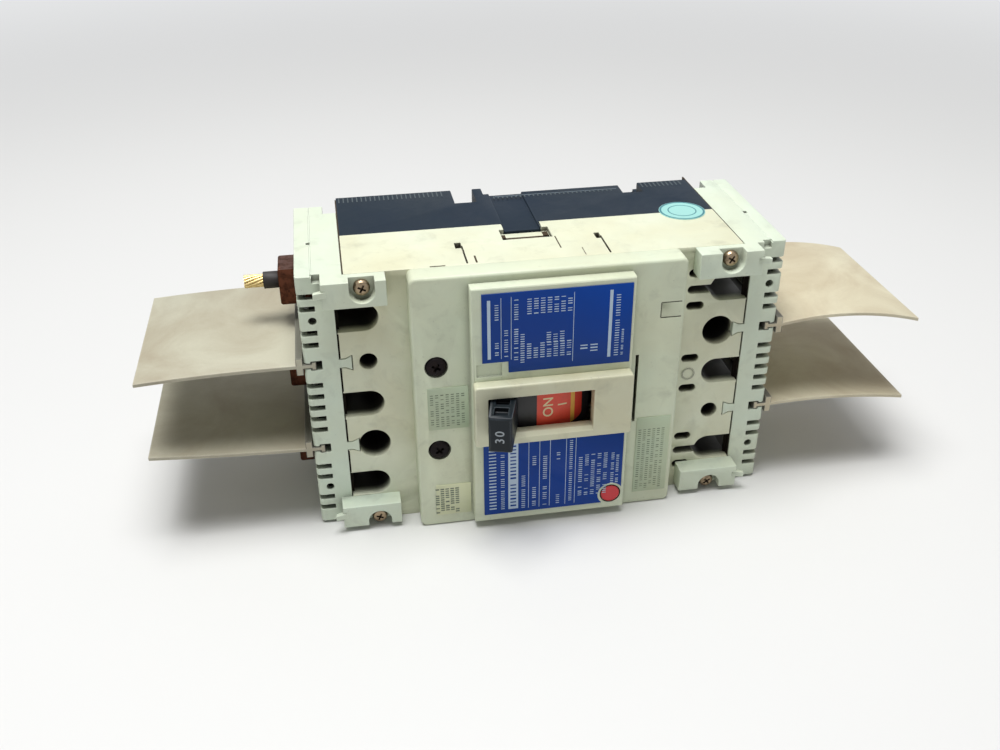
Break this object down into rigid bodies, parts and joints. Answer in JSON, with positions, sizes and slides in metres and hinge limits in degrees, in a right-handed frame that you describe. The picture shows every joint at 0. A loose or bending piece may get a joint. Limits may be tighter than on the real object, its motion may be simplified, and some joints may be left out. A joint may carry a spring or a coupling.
{
  "type": "moulded-case circuit breaker",
  "caption": "Moulded-case circuit breaker with a toggle handle, trip button, slotted end covers with phase barriers, cable lugs and a full switching mechanism inside.",
  "frame": {"origin": "middle of the two mounting screw holes, on the rear mounting face", "axes": "+X from the line end to the load end, +Y into the panel (the front faces -Y), +Z across the poles and up as the breaker stands on its long side"},
  "size_m": [0.249, 0.0867, 0.0893],
  "materials": {
    "base_slate": "matte",
    "cover_cream": "matte",
    "centre_cream": "matte",
    "escutcheon_cream": "satin",
    "end_cover_pale": "matte",
    "barrier_fibre": "matte",
    "knob_slate": "satin",
    "skirt_black": "satin",
    "zinc_steel": "satin",
    "black_steel": "satin",
    "frame_steel": "satin",
    "copper": "satin",
    "silver_contact": "satin",
    "lug_copper": "satin",
    "fibre_board": "matte",
    "crossbar_black": "matte",
    "spring_steel": "satin",
    "bimetal_strip": "satin",
    "button_red": "satin",
    "label_blue": "satin",
    "label_grey": "matte",
    "sticker_teal": "satin",
    "wire_insulation": "matte",
    "wire_copper": "satin"
  },
  "bodies": {
    "housing": {"arc_chute_1": "fibre_board", "arc_chute_2": "fibre_board", "arc_chute_3": "fibre_board", "barrier_line_lower": "barrier_fibre", "barrier_line_upper": "barrier_fibre", "barrier_load_lower": "barrier_fibre", "barrier_load_upper": "barrier_fibre", "base": "base_slate", "bimetal_1": "bimetal_strip", "bimetal_2": "bimetal_strip", "bimetal_3": "bimetal_strip", "centre_cover": "centre_cream", "centre_cover_screws": "black_steel", "cover_screws": "zinc_steel", "cradle": "frame_steel", "end_cover_screws": "zinc_steel", "escutcheon": "escutcheon_cream", "fixed_contact_tips": "silver_contact", "flexible_links": "copper", "frame_pins": "zinc_steel", "line_end_cover": "end_cover_pale", "line_lug_1": "lug_copper", "line_lug_2": "lug_copper", "line_lug_3": "lug_copper", "line_terminal_1": "copper", "line_terminal_2": "copper", "line_terminal_3": "copper", "line_terminal_screws": "zinc_steel", "load_end_cover": "end_cover_pale", "load_terminal_1": "copper", "load_terminal_2": "copper", "load_terminal_3": "copper", "load_terminal_screws": "zinc_steel", "lower_label": "label_blue", "lug_screws": "zinc_steel", "magnet_yokes": "frame_steel", "main_cover": "cover_cream", "mechanism_frame": "frame_steel", "round_sticker": "sticker_teal", "side_labels": "label_grey", "terminal_nuts": "zinc_steel", "terminal_washers": "zinc_steel", "trip_button_spring": "spring_steel", "upper_label": "label_blue", "wire_sleeve": "wire_insulation", "wire_strands": "wire_copper"},
    "handle": {"handle_knob": "knob_slate", "handle_skirt": "skirt_black", "handle_yoke": "frame_steel"},
    "spring_pair": {"main_springs": "spring_steel"},
    "contact_shaft": {"contact_shaft": "crossbar_black", "moving_contact_1": "copper", "moving_contact_2": "copper", "moving_contact_3": "copper", "moving_contact_tips": "silver_contact"},
    "upper_link_pair": {"upper_links": "frame_steel"},
    "lower_link_pair": {"lower_links": "frame_steel"},
    "trip_button": {"trip_button": "button_red"},
    "trip_bar": {"trip_bar": "crossbar_black", "armatures": "frame_steel"}
  },
  "joints": [
    {"name": "handle_throw", "type": "hinge", "parent": "housing", "child": "handle", "pos_m": [-0.0043, -0.0305, 0], "axis": [0, 0, 1], "range_deg": [0, 29]},
    {"name": "contact_swing", "type": "hinge", "parent": "housing", "child": "contact_shaft", "pos_m": [0.01, -0.024, 0], "axis": [0, 0, 1], "range_deg": [0, 23.2]},
    {"name": "upper_link_swing", "type": "hinge", "parent": "housing", "child": "upper_link_pair", "pos_m": [0.005, -0.049, 0], "axis": [0, 0, 1], "range_deg": [0, 13.64]},
    {"name": "lower_link_swing", "type": "hinge", "parent": "contact_shaft", "child": "lower_link_pair", "pos_m": [-0.004, -0.03, 0], "axis": [0, 0, 1], "range_deg": [-45.45, 0]},
    {"name": "spring_swing", "type": "hinge", "parent": "handle", "child": "spring_pair", "pos_m": [-0.01357, -0.06508, 0], "axis": [0, 0, 1], "range_deg": [0, 19.64]},
    {"name": "button_press", "type": "slide", "parent": "housing", "child": "trip_button", "axis": [0, 1, 0], "range_m": [0, 0.0015], "stiffness_N_per_m": 200, "springref_m": -0.001},
    {"name": "trip_bar_turn", "type": "hinge", "parent": "housing", "child": "trip_bar", "pos_m": [0.028, -0.048, 0], "axis": [0, 0, 1], "range_deg": [-10, 0]}
  ],
  "couplings": [
    {"joint": "contact_swing", "follows": "handle_throw", "ratio": 0.8},
    {"joint": "upper_link_swing", "follows": "handle_throw", "ratio": 0.47},
    {"joint": "lower_link_swing", "follows": "handle_throw", "ratio": -1.567},
    {"joint": "spring_swing", "follows": "handle_throw", "ratio": 0.677},
    {"joint": "trip_bar_turn", "follows": "button_press", "rad_per_m": -116}
  ]
}
